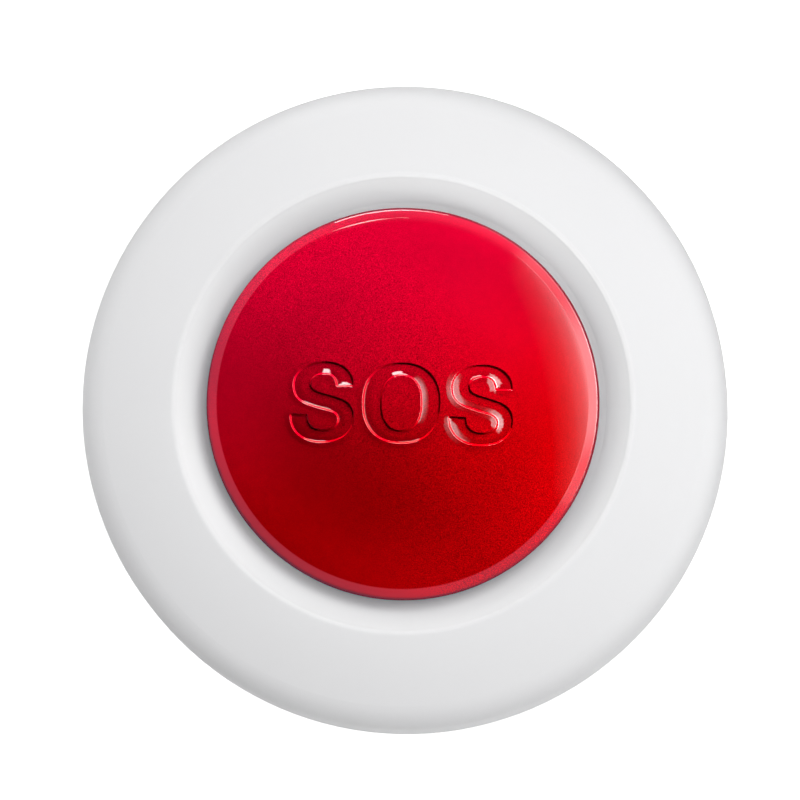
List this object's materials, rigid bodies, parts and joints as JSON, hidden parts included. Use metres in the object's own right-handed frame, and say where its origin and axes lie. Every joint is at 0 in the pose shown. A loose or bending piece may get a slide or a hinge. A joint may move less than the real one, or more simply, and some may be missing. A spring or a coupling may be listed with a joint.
{
  "type": "wireless panic button",
  "caption": "Round wall-mounted panic button: domed red push cap in a dished white bezel, twist-lock mounting base, radio board and coin cell inside.",
  "frame": {"origin": "centre of the mounting base's back face, which lies against the wall", "axes": "+Z out of the wall through the top of the domed cap, +Y up on the wall, +X to the right seen from the front"},
  "size_m": [0.08, 0.08, 0.0238],
  "materials": {
    "housing_white": "satin, fine moulded texture",
    "base_white": "satin",
    "cap_red": "clear glossy skin over a translucent red",
    "carrier_natural": "satin",
    "spring_steel": "drawn wire",
    "board_green": "solder mask",
    "screw_steel": "zinc plated",
    "switch_black": "matt",
    "switch_steel": "stamped",
    "plunger_black": "matt",
    "led_resin": "clear resin",
    "cell_steel": "brushed",
    "holder_black": "matt",
    "contact_metal": "stamped spring sheet",
    "board_blue": "solder mask",
    "shield_steel": "stamped tin plate",
    "chip_black": "moulded epoxy",
    "capacitor_metal": "drawn can",
    "antenna_copper": "plated copper wire"
  },
  "bodies": {
    "wall_base": {"mounting_base": "base_white"},
    "front_unit": {"front_housing": "housing_white", "circuit_board": "board_green", "board_screw_1": "screw_steel", "board_screw_2": "screw_steel", "board_screw_3": "screw_steel", "switch_body": "switch_black", "switch_cover": "switch_steel", "indicator_led_1": "led_resin", "indicator_led_2": "led_resin", "indicator_led_3": "led_resin", "coin_cell": "cell_steel", "cell_holder": "holder_black", "battery_contact_positive": "contact_metal", "battery_contact_negative": "contact_metal", "radio_board": "board_blue", "radio_shield": "shield_steel", "microcontroller": "chip_black", "crystal": "shield_steel", "storage_capacitor": "capacitor_metal", "antenna_wire": "antenna_copper", "tamper_switch": "switch_black", "return_spring": "spring_steel"},
    "push_cap": {"button_cap": "cap_red", "button_carrier": "carrier_natural"},
    "switch_button": {"switch_plunger": "plunger_black"}
  },
  "joints": [
    {"name": "bayonet_twist", "type": "hinge", "parent": "wall_base", "child": "front_unit", "pos_m": [0, 0, 0], "axis": [0, 0, 1], "range_deg": [0, 15]},
    {"name": "cap_press", "type": "slide", "parent": "front_unit", "child": "push_cap", "axis": [0, 0, -1], "range_m": [0, 0.0008], "stiffness_N_per_m": 350, "springref_m": -0.006, "deforming": ["return_spring"]},
    {"name": "switch_travel", "type": "slide", "parent": "front_unit", "child": "switch_button", "axis": [0, 0, -1], "range_m": [0, 0.0008]}
  ],
  "couplings": [
    {"joint": "switch_travel", "follows": "cap_press", "ratio": 1}
  ]
}
